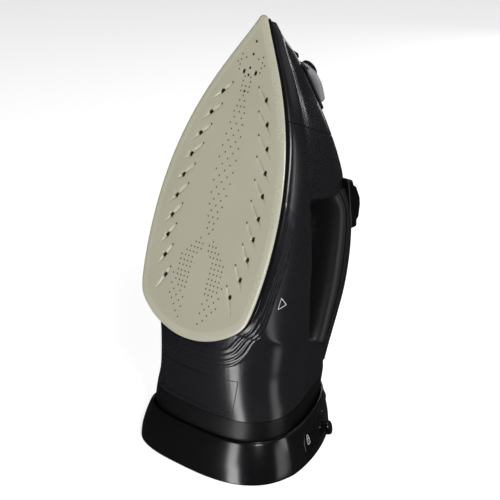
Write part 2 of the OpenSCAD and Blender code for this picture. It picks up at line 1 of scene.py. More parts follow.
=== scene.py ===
import bpy
import numpy as np
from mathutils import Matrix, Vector


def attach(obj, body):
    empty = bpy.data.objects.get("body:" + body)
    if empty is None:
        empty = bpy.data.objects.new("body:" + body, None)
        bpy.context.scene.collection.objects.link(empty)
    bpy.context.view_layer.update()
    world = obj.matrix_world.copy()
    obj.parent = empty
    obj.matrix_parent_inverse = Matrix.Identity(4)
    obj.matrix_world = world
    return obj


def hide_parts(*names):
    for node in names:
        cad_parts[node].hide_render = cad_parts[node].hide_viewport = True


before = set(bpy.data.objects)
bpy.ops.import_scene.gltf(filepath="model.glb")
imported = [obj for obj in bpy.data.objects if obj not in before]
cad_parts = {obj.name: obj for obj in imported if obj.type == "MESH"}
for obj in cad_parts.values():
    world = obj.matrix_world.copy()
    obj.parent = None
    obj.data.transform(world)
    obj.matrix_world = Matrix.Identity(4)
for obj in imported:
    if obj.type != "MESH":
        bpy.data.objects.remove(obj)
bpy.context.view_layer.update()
print("frame loaded")

# Lengths in the dictionaries are millimetres. Points on the iron are (x, s, h): x across,
# s from the heel edge to the nose, h from the soleplate's face to the handle.
stance = {"lean": 20.0, "heelY": -61.4, "heelZ": 90.5}
lean = np.radians(stance["lean"])
alongIron = np.array([0, np.sin(lean), np.cos(lean)])
upIron = np.array([0, np.cos(lean), -np.sin(lean)])
heelEdge = np.array([0, stance["heelY"], stance["heelZ"]])


def fromIron(p):  # iron's frame in mm to the row frame in mm
    p = np.asarray(p, float)
    side = np.zeros(p.shape)
    side[..., 0] = p[..., 0]
    return heelEdge + side + p[..., 1:2] * alongIron + p[..., 2:3] * upIron


class Field:  # one socket of a node tree; operators on it add Math nodes
    def __init__(self, tree, socket):
        self.tree = tree
        self.socket = socket

    def add(self, kind, settings=(), inputs=(), output=0):  # any node, by type, settings and inputs
        node = self.tree.nodes.new(kind)
        for key, value in dict(settings).items():
            setattr(node, key, value)
        for key, value in dict(inputs).items():
            if isinstance(value, Field):
                self.tree.links.new(value.socket, node.inputs[key])
            else:
                node.inputs[key].default_value = value
        return Field(self.tree, node.outputs[output])

    def maths(self, operation, a, b=0.0):
        return self.add("ShaderNodeMath", {"operation": operation}, {0: a, 1: b})

    def __add__(self, other): return self.maths("ADD", self, other)
    def __radd__(self, other): return self.maths("ADD", other, self)
    def __sub__(self, other): return self.maths("SUBTRACT", self, other)
    def __rsub__(self, other): return self.maths("SUBTRACT", other, self)
    def __mul__(self, other): return self.maths("MULTIPLY", self, other)
    def __rmul__(self, other): return self.maths("MULTIPLY", other, self)

    def clamp(self):
        return self.add("ShaderNodeClamp", {}, {"Value": self})

    def blend(self, a, b):  # colour a where self is 0, colour b where it is 1
        return self.add("ShaderNodeMix", {"data_type": "RGBA"}, {"Factor": self, 6: a, 7: b}, 2)


def colour(rgb):
    return (rgb[0], rgb[1], rgb[2], 1.0)


# One entry for each finish: base and second colour (linear), how far it mottles, roughness and its
# spread, metal, coat, grain size in 1/m, bump depth in mm
looks = {
    "soleCoat": dict(a=(0.345, 0.335, 0.254), b=(0.375, 0.364, 0.278), rough=0.40, spread=0.05, metal=0.0,
                     coat=0.1, grain=900, bump=0.012, specular=0.5),
    # the rolled rim: glossier with more coat, and a little lighter than the face as a painted sheen
    "soleRimGlossAndPaintedSheen": dict(a=(0.385, 0.376, 0.290), b=(0.410, 0.400, 0.312), rough=0.28, spread=0.04, metal=0.0,
                     coat=0.3, grain=700, bump=0.004, specular=0.5),
    # near black for the steam holes and the nose dots' middles: painted shade deep in the holes
    "ventPaintedShade": dict(a=(0.0030, 0.0026, 0.0020), b=(0.0050, 0.0042, 0.0030), rough=0.70, spread=0.05, metal=0.0,
                     coat=0.0, grain=800, bump=0.0, specular=0.3),
    # dark brown for the fine pores, the nose dots' lips and the groove tips: painted shade inside small holes
    "porePaintedShade": dict(a=(0.050, 0.043, 0.028), b=(0.075, 0.065, 0.044), rough=0.70, spread=0.05, metal=0.0,
                     coat=0.0, grain=800, bump=0.0, specular=0.3),
    "gasketRubber": dict(a=(0.0015, 0.0015, 0.0015), b=(0.003, 0.003, 0.003), rough=0.62, spread=0.08, metal=0.0,
                         coat=0.0, grain=1500, bump=0.003, specular=0.1),
    "bodyPlastic": dict(a=(0.0072, 0.0072, 0.0086), b=(0.0092, 0.0092, 0.0108), rough=0.25, spread=0.015,
                        metal=0.0, coat=0.0, grain=700, bump=0.0006, specular=0.42),
    "bandPlastic": dict(a=(0.0018, 0.0018, 0.0022), b=(0.0026, 0.0026, 0.0030), rough=0.42, spread=0.05,
                        metal=0.0, coat=0.0, grain=1600, bump=0.002, specular=0.25),
    "gripPlastic": dict(a=(0.0066, 0.0068, 0.0074), b=(0.0082, 0.0084, 0.0090), rough=0.36, spread=0.05,
                        metal=0.0, coat=0.0, grain=2200, bump=0.002, specular=0.38),
    "glossBlack": dict(a=(0.0020, 0.0020, 0.0022), b=(0.0030, 0.0030, 0.0033), rough=0.13, spread=0.03,
                       metal=0.0, coat=0.0, grain=500, bump=0.0, specular=0.4),
    "dockPlastic": dict(a=(0.0030, 0.0030, 0.0035), b=(0.0040, 0.0040, 0.0046), rough=0.20, spread=0.015,
                        metal=0.0, coat=0.0, grain=600, bump=0.0004, specular=0.42),
    "doorSmoke": dict(a=(0.190, 0.187, 0.205), b=(0.215, 0.212, 0.230), rough=0.2, spread=0.03, metal=0.0,
                      coat=0.3, grain=500, bump=0.0, specular=0.4),
    "iconWhite": dict(a=(0.62, 0.63, 0.64), b=(0.70, 0.71, 0.72), rough=0.45, spread=0.04, metal=0.0,
                      coat=0.0, grain=900, bump=0.0, specular=0.4),
    "steel": dict(a=(0.55, 0.55, 0.56), b=(0.66, 0.66, 0.67), rough=0.26, spread=0.08, metal=1.0, coat=0.0,
                  grain=900, bump=0.004, specular=0.5),
    "castAluminium": dict(a=(0.52, 0.53, 0.54), b=(0.64, 0.65, 0.66), rough=0.45, spread=0.10, metal=1.0,
                          coat=0.0, grain=700, bump=0.03, specular=0.5),
    "brass": dict(a=(0.66, 0.48, 0.20), b=(0.74, 0.56, 0.28), rough=0.28, spread=0.08, metal=1.0, coat=0.0,
                  grain=900, bump=0.004, specular=0.5),
    "whitePlastic": dict(a=(0.66, 0.65, 0.60), b=(0.74, 0.73, 0.69), rough=0.45, spread=0.06, metal=0.0,
                         coat=0.0, grain=900, bump=0.006, specular=0.5),
    "wireRed": dict(a=(0.34, 0.022, 0.014), b=(0.42, 0.032, 0.020), rough=0.50, spread=0.06, metal=0.0,
                    coat=0.0, grain=1200, bump=0.006, specular=0.4),
    "clearTank": dict(a=(0.62, 0.68, 0.74), b=(0.70, 0.76, 0.82), rough=0.10, spread=0.03, metal=0.0,
                      coat=0.3, grain=400, bump=0.002, specular=0.5),
    "floorPaper": dict(a=(0.93, 0.93, 0.93), b=(0.95, 0.95, 0.95), rough=0.75, spread=0.03, metal=0.0,
                       coat=0.0, grain=40, bump=0.0, specular=0.2),
}


def makeLook(name, p):
    material = bpy.data.materials.new(name)
    material.use_nodes = True
    tree = material.node_tree
    shader = tree.nodes["Principled BSDF"]
    start = Field(tree, shader.outputs[0])
    place = start.add("ShaderNodeTexCoord", output=3)
    fine = start.add("ShaderNodeTexNoise", {}, {"Vector": place, "Scale": p["grain"], "Detail": 3.0})
    broad = start.add("ShaderNodeTexNoise", {}, {"Vector": place, "Scale": p["grain"] * 0.03, "Detail": 2.0})
    mottle = ((fine - 0.5) * 1.2 + (broad - 0.5) * 1.5 + 0.5).clamp()
    tree.links.new(mottle.blend(colour(p["a"]), colour(p["b"])).socket, shader.inputs["Base Color"])
    roughness = (broad - 0.5) * (2 * p["spread"]) + (fine - 0.5) * p["spread"] + p["rough"]
    tree.links.new(roughness.clamp().socket, shader.inputs["Roughness"])
    if p["bump"] > 0:
        depth = p["bump"] / 1000
        bump = start.add("ShaderNodeBump", {}, {"Height": fine, "Strength": 0.5, "Distance": depth})
        tree.links.new(bump.socket, shader.inputs["Normal"])
    shader.inputs["Metallic"].default_value = p["metal"]
    shader.inputs["Coat Weight"].default_value = p["coat"]
    shader.inputs["Coat Roughness"].default_value = 0.08
    shader.inputs["Specular IOR Level"].default_value = p["specular"]
    return material


finishes = {name: makeLook(name, p) for name, p in looks.items()}
print("materials made")


def gridQuads(rows, cols, wrapCols=False, first=0):  # the faces of a grid of points, row by row
    r, c = np.meshgrid(np.arange(rows - 1), np.arange(cols if wrapCols else cols - 1), indexing="ij")
    c2 = (c + 1) % cols
    corners = [r * cols + c, r * cols + c2, (r + 1) * cols + c2, (r + 1) * cols + c]
    return first + np.stack(corners, -1).reshape(-1, 4)


def fan(ring, centre):  # triangles from a closed ring to one point
    return np.stack([ring, np.roll(ring, -1), np.full(len(ring), centre)], -1)


def signedVolume(v, faces):  # six times the volume that the faces close off, positive if they face outward
    total = 0.0
    for f in faces:
        if len(f):
            a = v[f[:, 0]]
            for k in range(1, f.shape[1] - 1):
                total += np.einsum("ij,ij->", a, np.cross(v[f[:, k]], v[f[:, k + 1]]))
    return total


def facing(points, quads, away):  # turns the quads so that their normals point away from a point
    if signedVolume(points - away, [quads]) < 0:
        quads = quads[:, ::-1]
    return quads


def makePiece(name, points, faceSets, finishNames, body, replaces=(), slot=None, sharp=35):
    # a piece from points in row-frame mm and outward index arrays; set k takes finish k, or the last one
    mesh = bpy.data.meshes.new(name)
    mesh.from_pydata((points / 1000).tolist(), [], [row for f in faceSets for row in f.tolist()])
    mesh.update()
    mesh.polygons.foreach_set("use_smooth", np.ones(len(mesh.polygons), bool))
    mesh.set_sharp_from_angle(angle=np.radians(sharp))
    for finish in finishNames:
        mesh.materials.append(finishes[finish])
    last = len(finishNames) - 1
    index = np.concatenate([np.full(len(f), min(k, last)) for k, f in enumerate(faceSets)])
    mesh.polygons.foreach_set("material_index", index.astype(np.int32))
    piece = bpy.data.objects.new(name, mesh)
    bpy.context.scene.collection.objects.link(piece)
    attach(piece, body)
    for node in replaces:
        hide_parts(node)


def loft(name, rings, finish, body, capStart=True, capEnd=True, outward=None, **more):
    # a closed skin over an array of rings, (rings, points, 3), with flat fans over its ends;
    # outward is a point that its faces look away from, the middle if it isn't given
    rings = np.asarray(rings, float)
    m, n = rings.shape[:2]
    points = rings.reshape(-1, 3)
    faces = [gridQuads(m, n, wrapCols=True)]
    if capStart:
        points = np.vstack([points, rings[0].mean(0)])
        faces.append(fan(np.arange(n)[::-1], len(points) - 1))
    if capEnd:
        points = np.vstack([points, rings[-1].mean(0)])
        faces.append(fan((m - 1) * n + np.arange(n), len(points) - 1))
    middle = points.mean(0) if outward is None else np.asarray(outward, float)
    if signedVolume(points - middle, faces) < 0:
        faces = [f[:, ::-1] for f in faces]
    makePiece(name, points, faces, [finish], body, **more)


def catmull(a, b, c, d, t):  # the curve between b and c, tangent to a-c and b-d
    return 0.5 * (2 * b + (c - a) * t + (2 * a - 5 * b + 4 * c - d) * t ** 2
                  + (3 * b - a - 3 * c + d) * t ** 3)


def tableRows(table, us):  # rows of a table at fractional places
    table = np.asarray(table, float)
    i = np.floor(us + 1e-9).astype(int)
    t = (us - i)[:, None]
    pick = lambda k: table[np.clip(i + k, 0, len(table) - 1)]
    return catmull(pick(-1), pick(0), pick(1), pick(2), t)


def soften(grid, passes, axis, wrap):  # repeated 1-2-1 averaging along one axis; open ends stay put
    for _ in range(passes):
        ahead, behind = np.roll(grid, -1, axis), np.roll(grid, 1, axis)
        new = 0.25 * ahead + 0.5 * grid + 0.25 * behind
        if not wrap:
            edge = [slice(None)] * grid.ndim
            for k in (0, -1):
                edge[axis] = k
                new[tuple(edge)] = grid[tuple(edge)]
        grid = new
    return grid


def gridNormals(grid):  # unit normals of a grid of rings that close on themselves
    du = np.gradient(grid, axis=0)
    dv = np.roll(grid, -1, 1) - np.roll(grid, 1, 1)
    n = np.cross(du, dv)
    n /= np.maximum(np.linalg.norm(n, axis=-1, keepdims=True), 1e-9)
    mid = grid.mean(1, keepdims=True)
    return n * np.sign(np.sum(n * (grid - mid), axis=(-1, -2)))[:, None, None]


def step(x, edge0, edge1):  # smooth 0 to 1 between two values
    t = np.clip((x - edge0) / (edge1 - edge0), 0, 1)
    return t * t * (3 - 2 * t)


sole = {"length": 215.0, "halfWidth": 56.0, "widestAt": 70, "noseSpan": 149, "heelSpan": 162, "heelArc": 150,
        "tipRadius": 2.6, "roll": 5.6, "rollDrop": 1.2, "rows": 400, "columns": 186, "ventRadius": 1.6,
        "ventDepth": 2.6, "grooveWidth": 1.9, "grooveDepth": 1.25, "noseVent": (5.3, 177.3)}
# Each groove: inner tip s x, outer tip s x, hole s x
grooves = np.array([
    [168, 12.5, 155, 27.5, 162, 20], [153, 17.5, 140, 33, 147, 26], [138.5, 22.5, 125, 38, 132, 31],
    [125, 25.5, 111, 41, 117, 34.5], [110.5, 28.5, 96.5, 43.5, 102.5, 37], [97, 30, 81, 44.5, 88, 38.5],
    [83, 31, 67, 44, 74.5, 38.5], [69, 32, 53, 43, 61, 38], [55, 30.5, 38.5, 41, 47.5, 36],
    [40.5, 27.5, 22, 37, 35, 31]])
grooves = np.vstack([grooves, grooves * [1, -1, 1, -1, 1, -1]])


def soleHalf(s):  # half width: a power curve towards the nose, an arc with rounded corners at the heel
    t = np.clip((s - sole["widestAt"]) / sole["noseSpan"], 0, 1)
    nose = sole["halfWidth"] * (1 - t ** 2.1) - 2.2 * np.sin(np.pi * t ** 4)
    a = np.sqrt(np.maximum(0.0001, sole["heelArc"] * s - s * s))
    b = sole["halfWidth"] * (1 - ((sole["widestAt"] - s) / sole["heelSpan"]) ** 2)
    heel = (a ** -20 + b ** -20) ** (-1 / 20)
    return np.where(s < sole["widestAt"], heel, nose)


def soleOutline(count):  # right half of the outline from heel to tip, evenly spaced, as x, s
    tip = sole["length"] - sole["tipRadius"]
    s = tip * np.linspace(0, 1, 1500) ** 2.2
    x = soleHalf(s)
    x[0] = 0
    q = np.radians(np.linspace(2, 90, 60))
    cap = np.stack([soleHalf(np.array([tip]))[0] * np.cos(q), tip + sole["tipRadius"] * np.sin(q)], -1)
    line = np.vstack([np.stack([x, s], -1), cap])
    run = np.concatenate([[0], np.cumsum(np.linalg.norm(np.diff(line, axis=0), axis=1))])
    at = np.linspace(0, run[-1], count)
    return np.stack([np.interp(at, run, line[:, 0]), np.interp(at, run, line[:, 1])], -1)


outline = soleOutline(sole["rows"])


def insetHalf(line, d):  # the half outline moved inward by d; past the axis it stays on the axis
    t = np.gradient(line, axis=0)
    t[0], t[-1] = (1, 0), (-1, 0)
    n = np.stack([t[:, 1], -t[:, 0]], -1) / np.linalg.norm(t, axis=1, keepdims=True)
    moved = line - d * n
    over = (moved[:, 0] < 0) & (np.arange(len(line)) > 10)
    if over.any():
        k = int(np.argmax(over))
        moved[k:, 0] = 0
        moved[k:, 1] = moved[k - 1, 1]
    moved[0, 0] = 0
    return moved


def wholeRing(half, h):  # both halves as a closed ring of x, s, h
    both = np.vstack([half, (half * [-1, 1])[-2:0:-1]])
    return np.column_stack([both, np.full(len(both), h) if np.isscalar(h) else h])


def soleRelief(x, s):  # how far the face lies into the plate: steam holes, and grooves shaped as drops
    depth = np.zeros_like(x)
    for a0, a1, b0, b1, c0, c1 in grooves:
        along = np.array([b1 - a1, b0 - a0])
        size = np.linalg.norm(along)
        along /= size
        t = ((x - a1) * along[0] + (s - a0) * along[1]) / size
        q = ((x - a1) * along[1] - (s - a0) * along[0]) * np.sign(a1)
        wide = sole["grooveWidth"] * step(t, -0.08, 0.22) * np.clip(1.02 - t, 0, 1) ** 0.8
        v = -q / np.maximum(wide, 0.05)
        steep, gentle = step(v, -1.0, -0.25), np.clip((1.0 - v) / 1.25, 0, 1)
        depth += sole["grooveDepth"] * np.minimum(steep, gentle ** 1.15) * np.clip(wide, 0, 1)
        r = np.hypot(x - c1, s - c0)
        dish = 0.25 * np.exp(-(r / 2.6) ** 2)
        depth += sole["ventDepth"] * step(sole["ventRadius"] + 0.3 - r, 0, 0.6) + dish
    for side in (-1, 1):
        r = np.hypot(x - side * sole["noseVent"][0], s - sole["noseVent"][1])
        depth += sole["ventDepth"] * step(sole["ventRadius"] + 0.2 - r, 0, 0.6)
    return depth


inner = insetHalf(outline, sole["roll"] + 0.2)
u = np.linspace(-1, 1, sole["columns"])
faceX = inner[:, :1] * u[None, :]
faceS = np.repeat(inner[:, 1:], sole["columns"], 1)
faceGrid = np.stack([faceX, faceS, soleRelief(faceX, faceS) + 0.05], -1)
# the rolled edge falls away as a quarter ellipse, then the wall runs up to the gasket
rollAt = np.linspace(0, 1, 9)
rim = [wholeRing(insetHalf(outline, (sole["roll"] + 0.2) * (1 - k)),
                 0.05 + sole["rollDrop"] * (1 - np.sqrt(1 - (k * 0.995) ** 2.4))) for k in rollAt]
rimWall = ((0.0, 1.3), (0.2, 1.6), (1.2, 1.65), (3.5, 1.75), (9, 5.5))
rim += [wholeRing(insetHalf(outline, d), h) for d, h in rimWall]
rim = np.array(rim)
facePoints, rimPoints = faceGrid.reshape(-1, 3), rim.reshape(-1, 3)
faceQuads = gridQuads(*faceX.shape)
rimQuads = gridQuads(rim.shape[0], rim.shape[1], wrapCols=True, first=len(facePoints))
solePoints = fromIron(np.vstack([facePoints, rimPoints]))
soleMiddle = fromIron(np.array([0, 100, 4.0]))
faceUp = fromIron(np.array([0, 100, 300.0]))
faceQuads = facing(solePoints, faceQuads, faceUp)
rimQuads = facing(solePoints, rimQuads, soleMiddle)
# the rim takes the lighter finish, a painted sheen on the rolled edge
makePiece("solePlate", solePoints, [faceQuads, rimQuads], ["soleCoat", "soleRimGlossAndPaintedSheen"], "iron", ["soleplate"],
        "ceramic_sole", sharp=60)

# fine pores: [s, x places on one side]; a place of 0 is on the axis
pores = [[143.2, 0, 5.6], [135.4, 0, 6.7], [127.7, 0, 7.3], [119.9, 0, 7.8], [111.9, 0, 7.7], [104.3, 0, 7.6],
         [96.3, 0, 7.0], [88.6, 0, 5.9], [80.8, 0, 4.5], [73, 2.6], [69.7, 0],
         [139.3, 3.3], [131.5, 3.4], [123.8, 3.5], [115.9, 3.6], [108.1, 3.6], [100.3, 3.5], [92.4, 3.3],
         [84.7, 2.9], [76.9, 2.2], [147.1, 3.2], [150.9, 0, 4.6], [154.5, 0, 3.3], [158.5, 2.2], [161.7, 0],
         [164.5, 3.3], [167.9, 0, 3.4], [171.1, 3.4], [174, 2.5],
         [65.7, 6], [62.4, 3.1, 6.4, 9.4], [58.9, 3.5, 6.6, 9.7, 12.9], [55.5, 6.4, 9.5, 12.9, 16],
         [52, 9.5, 12.9, 16.2, 19.6], [48.7, 9.5, 12.8, 16.2, 19.5], [45.3, 9.5, 12.8, 16.2, 19.5],
         [41.6, 9.5, 12.8, 16.2, 19.5], [38.4, 9.4, 12.7, 15.9, 19.3, 23], [35, 9.5, 12.9, 16.2, 19.7],
         [31.6, 9.6, 12.9, 16.1, 22.4], [28.2, 12.9, 19.1], [24.9, 9.4, 15.8, 22.1], [21.9, 12.4, 19.3],
         [18.6, 9.3, 15.9], [14.7, 13.2], [11.5, 9.5],
         [188, 9.4], [186.3, 5.4], [184.5, 9.6], [182.8, 12.1], [181.1, 9.7], [178, 9.5]]
poreAt = [(side * x, row[0]) for row in pores for x in row[1:] for side in ((1, -1) if x else (1,))]
dotAt = [(0, 197.4), (0, 189), (0, 180), (0, 175.3), (0, 164.6)]
tipAt = [(g[1] - np.sign(g[1]) * 0.6, g[0] + 0.8) for g in grooves]
ventAt = [(g[5], g[4]) for g in grooves]
ventAt += [(side * sole["noseVent"][0], sole["noseVent"][1]) for side in (1, -1)]


def dishes(places, radius, depth, lift):  # small round dimples: a lip ring, a floor ring and a centre
    q = np.radians(np.arange(0, 360, 30))
    unit = np.stack([np.cos(q), np.sin(q)], -1)
    places = np.asarray(places, float)
    rings = []
    for k, h in ((1.0, lift), (0.72, lift * 0.5), (0.0, depth)):
        xy = places[:, None, :] + radius * k * (unit[None] if k else unit[None, :1] * 0)
        rings.append(np.concatenate([xy, np.full(xy.shape[:2] + (1,), h)], -1))
    n = len(unit)
    points = np.concatenate(rings, 1).reshape(-1, 3)
    base = (np.arange(len(places)) * (2 * n + 1))[:, None]
    i = np.arange(n)
    j = (i + 1) % n
    lip = (base[:, :, None] + np.stack([i, j, n + j, n + i], -1)[None]).reshape(-1, 4)
    floor = (base[:, :, None] + np.stack([n + i, n + j, np.full(n, 2 * n)], -1)[None]).reshape(-1, 3)
    points = fromIron(points)
    return points, facing(points, lip, faceUp), facing(points, floor, faceUp)


# name: places, radius, depth, lift, finishes of the lip and the floor, dark as painted shade inside the holes
soleDishes = {"solePores": (poreAt, 0.62, 0.06, 0.02, ["porePaintedShade", "porePaintedShade"]),
              "soleDots": (dotAt, 0.95, 0.05, 0.01, ["porePaintedShade", "ventPaintedShade"]),
              "soleTips": (tipAt, 0.75, 0.08, 0.0, ["porePaintedShade", "porePaintedShade"]),
              # dark discs down in the steam holes: painted shade
              "ventShadeDiscs": (ventAt, 1.55, 1.9, 1.5, ["ventPaintedShade", "ventPaintedShade"])}
for name, (places, radius, depth, lift, holeShades) in soleDishes.items():
    dishPoints, lip, bottom = dishes(places, radius, depth, lift)
    makePiece(name, dishPoints, [lip, bottom], holeShades, "iron", slot="ceramic_sole")

gasketProfile = [(3.2, 1.7), (1.4, 1.7), (1.1, 2.0), (1.1, 5.6), (1.5, 6.1), (2.6, 6.3), (5.2, 6.4)]
loft("gasketBand", [fromIron(wholeRing(insetHalf(outline[::2], d), h)) for d, h in gasketProfile],
     "gasketRubber", "iron", capStart=False, capEnd=False, replaces=["sole_gasket"], slot="black_gasket",
     sharp=80)
print("soleplate made")

# Sections from the heel's foot to the nose, in planes s = place + slant * h:
# place, slant, keel, width, waist, power, shoulder x h, flank x h, ridge x h, top
ribs = [
    [-83.5, 0.364, 32.5, 54.2, 62, 2.8, 49, 80, 39, 101, 21, 127, 137.5],
    [-68, 0.364, 27, 55.2, 56.5, 2.9, 49, 75, 39, 96, 20.5, 126, 136.8],
    [-54.8, 0.364, 24.5, 54.6, 52, 2.8, 49, 71, 38, 93, 20, 125, 137],
    [-38, 0.26, 19.5, 52, 48, 2.5, 47.5, 68, 35.5, 90, 19.5, 124, 136.8],
    [-22, 0.17, 14, 51, 44, 2.4, 46.5, 66, 34, 88, 19, 123.5, 136.5],
    [-9, 0.1, 9.5, 51.6, 41, 2.3, 46, 66, 33.5, 86, 18.6, 122.5, 135.6],
    [9.2, 0, 5.6, 52.6, 38, 2.5, 45.5, 65, 34.5, 84, 18.2, 121, 133.8],
    [13.5, 0, 5.8, 53, 35, 3, 45, 64, 37, 81.5, 19.2, 98, 105.5],
    [20, 0, 6, 52.6, 31, 4, 45.5, 61, 38.5, 77, 20, 74.5, 75],
    [40, 0, 6, 53, 26, 6, 47, 54, 38.5, 69, 20, 64, 62],
    [68, 0, 6, 55, 22, 8, 48.5, 47, 37.5, 61, 20, 61.5, 60],
    [95, 0, 6, 53.6, 20, 8, 45.5, 41, 34, 53.5, 18, 61.5, 63],
    [103, 0, 6, 52.4, 20, 8, 43.5, 40, 32, 52.5, 17, 62.5, 66],
    [111, 0, 6, 51, 20, 8, 42, 40, 30, 56, 17, 92, 119.5],
    [126, 0, 6, 47.8, 20, 8, 38.5, 40, 29, 61, 17.5, 94, 113.5],
    [140, 0, 6, 43.8, 19, 8, 34.5, 38, 26.5, 58, 16.3, 85, 103],
    [152, 0, 6, 38.8, 18, 8, 30, 36, 23.5, 54, 15, 76, 91],
    [166, 0, 6, 32, 17, 8, 24, 32, 19.5, 47, 13, 63.5, 76],
    [182, 0, 6, 22.6, 15.5, 7, 17, 26, 14.2, 37, 9.5, 48, 56],
    [196, 0, 6, 13.4, 14, 6, 10, 20, 8.8, 27, 6, 34, 37.5],
    [206, 0, 6, 7.6, 12.5, 5, 5.8, 15.5, 4, 18, 2.2, 20, 21],
    [212.5, 0, 6, 2.6, 10.5, 4, 2, 11.2, 1.4, 12, 0.8, 12.6, 13]]
hull = {"step": 0.05, "arc": 20, "spline": 20, "alongPasses": 14, "acrossPasses": 10, "around": 116,
        "bandEnd": 2.0, "noseStart": 16.0, "ridgeHeight": 0.5, "ridgeLevels": (7.0, 11.0, 15.0, 19.0)}


def sections(us):  # rings of the body: a superellipse below the waist, a spline above it
    r = tableRows(ribs, us)
    q = np.radians(np.arange(hull["arc"]) * 90 / hull["arc"])[None, :]
    col = lambda k: r[:, k:k + 1]
    arcX = col(3) * np.sin(q) ** (2 / col(5))
    arcH = col(4) - (col(4) - col(2)) * np.cos(q) ** (2 / col(5))
    mirrored = r[:, [6, 7]] * [1, -1] + np.stack([0 * r[:, 4], 2 * r[:, 4]], -1)
    top = np.stack([0 * r[:, 12], r[:, 12]], -1)
    p = np.stack([mirrored, r[:, [3, 4]], r[:, [6, 7]], r[:, [8, 9]], r[:, [10, 11]], top,
                  r[:, [10, 11]] * [-1, 1]], 1)
    t = (np.arange(hull["spline"]) / hull["spline"])[None, :, None]
    parts = [catmull(*(p[:, j:j + 1] for j in range(k, k + 4)), t) for k in range(4)]
    half = np.concatenate([np.stack([arcX, arcH], -1), *parts, p[:, 5:6]], 1)
    ring = np.concatenate([half, (half * [-1, 1])[:, -2:0:-1]], 1)
    s = r[:, 0:1] + r[:, 1:2] * ring[..., 1]
    return np.stack([ring[..., 0], s, ring[..., 1]], -1)


hullUs = np.arange(0, len(ribs) - 1 + 1e-6, hull["step"])
skin = sections(hullUs)
skin = soften(skin, hull["acrossPasses"], 1, True)
skin = soften(skin, hull["alongPasses"], 0, False)


def evenRings(rings, count):  # spreads each half ring's points by arc length, more of them near the skirt
    half = rings[:, :rings.shape[1] // 2 + 1]
    gap = np.linalg.norm(np.diff(half, axis=1), axis=2)
    low = (half[:, 1:, 2] + half[:, :-1, 2]) / 2
    run = np.cumsum(gap * (1 + 3.2 * np.exp(-((low - 15) / 6) ** 2)), 1)
    run = np.concatenate([np.zeros((len(run), 1)), run], 1)
    at = np.linspace(0, 1, count)
    new = np.array([[np.interp(at * r[-1], r, h[:, k]) for k in range(3)] for r, h in zip(run, half)])
    new = np.moveaxis(new, 1, 2)
    return np.concatenate([new, (new * [-1, 1, 1])[:, -2:0:-1]], 1)


skin = evenRings(skin, hull["around"])
normals = gridNormals(skin)
# contour F = hypot(4 - s, 2.1 (h - 9)): one family of fine ridges along the skirt and round the heel
contour = np.hypot(np.maximum(0, 4 - skin[..., 1]), np.maximum(0, skin[..., 2] - 9) * 2.1)
shown = step(96 - skin[..., 1], 0, 14) * step(62 - skin[..., 2], 0, 12)
ridges = np.zeros(contour.shape)
for level in hull["ridgeLevels"]:
    ridges += np.exp(-((contour - level) / 1.0) ** 2)
skin = skin + normals * (hull["ridgeHeight"] * ridges * shown)[..., None]


def overSurface(at, flat, value, reach):  # value at new places by a weighted plane fit through near samples
    d = flat[None] - at[:, None]
    w = np.exp(-(d ** 2).sum(-1) / (2 * reach ** 2))
    basis = np.concatenate([np.ones(d.shape[:2] + (1,)), d], -1)
    a = np.einsum("ij,ijk,ijl->ikl", w, basis, basis) + 1e-9 * np.eye(3)
    b = np.einsum("ij,ijk,j->ik", w, basis, value)
    return np.linalg.solve(a, b[..., None])[:, 0, 0]


def shrinkRing(ring, d):  # a section drawn in towards its middle by d
    mid = ring.mean(0)
    away = ring - mid
    return mid + away * (1 - d / np.maximum(np.linalg.norm(away, axis=1, keepdims=True), 1e-6))


def shellPiece(name, first, last, finish, replaces, slot, lips=(True, True)):
    # rings first to last of the skin, with the edges turned in so that the parts show a fine gap
    rings = skin[first:last + 1].copy()
    if lips[0]:
        rings[0] = rings[0] + (rings[1] - rings[0]) * 0.35
        rings = np.concatenate([[shrinkRing(rings[0], 3.0), shrinkRing(rings[0], 0.35)], rings])
    if lips[1]:
        rings[-1] = rings[-1] + (rings[-2] - rings[-1]) * 0.35
        rings = np.concatenate([rings, [shrinkRing(rings[-1], 0.35), shrinkRing(rings[-1], 3.0)]])
    return loft(name, fromIron(rings), finish, "iron", replaces=replaces, slot=slot, sharp=50)


splitBand = int(round(hull["bandEnd"] / hull["step"]))
splitNose = int(round(hull["noseStart"] / hull["step"]))
shellPiece("heelBand", 0, splitBand, "bandPlastic", ["heel_band"], "matte_black", (False, True))
shellPiece("bodyHull", splitBand, splitNose, "bodyPlastic", ["body_shell", "rating_panel"], "body_plastic")
shellPiece("noseHull", splitNose, len(hullUs) - 1, "bodyPlastic", ["nose_shell"], "body_plastic",
           (True, False))
print("body made")

# Places along the grip: outer line s h, inner line s h, half width
grip = {"sections": [
    [123, 110, 113, 84, 15], [107, 121.3, 104.5, 97, 16.5], [88.5, 128.6, 89, 102.5, 17],
    [70, 133, 71, 105.8, 17.5], [50, 135.4, 51, 109, 17.5], [30, 134.8, 30, 110.5, 17.5],
    [12, 133.8, 12, 110.4, 17.5], [-4, 133.8, -4, 106, 18]],
    "start": 0.15, "end": 6.85, "rings": 150, "around": 72, "power": 0.72, "wall": 0.86, "lip": 0.985}


def gripArc(us, low, high, count):  # part of a rounded tube between two angles, for each place
    g = tableRows(grip["sections"], us)
    q = np.radians(np.linspace(low, high, count))
    x = np.sign(np.cos(q)) * np.abs(np.cos(q)) ** grip["power"]
    z = np.sign(np.sin(q)) * np.abs(np.sin(q)) ** grip["power"]
    outer, innerLine = g[:, None, 0:2], g[:, None, 2:4]
    mid, arm = (outer + innerLine) / 2, (outer - innerLine) / 2
    line = mid + arm * z[None, :, None]
    return np.concatenate([g[:, None, 4:5] * x[None, :, None], line], -1)


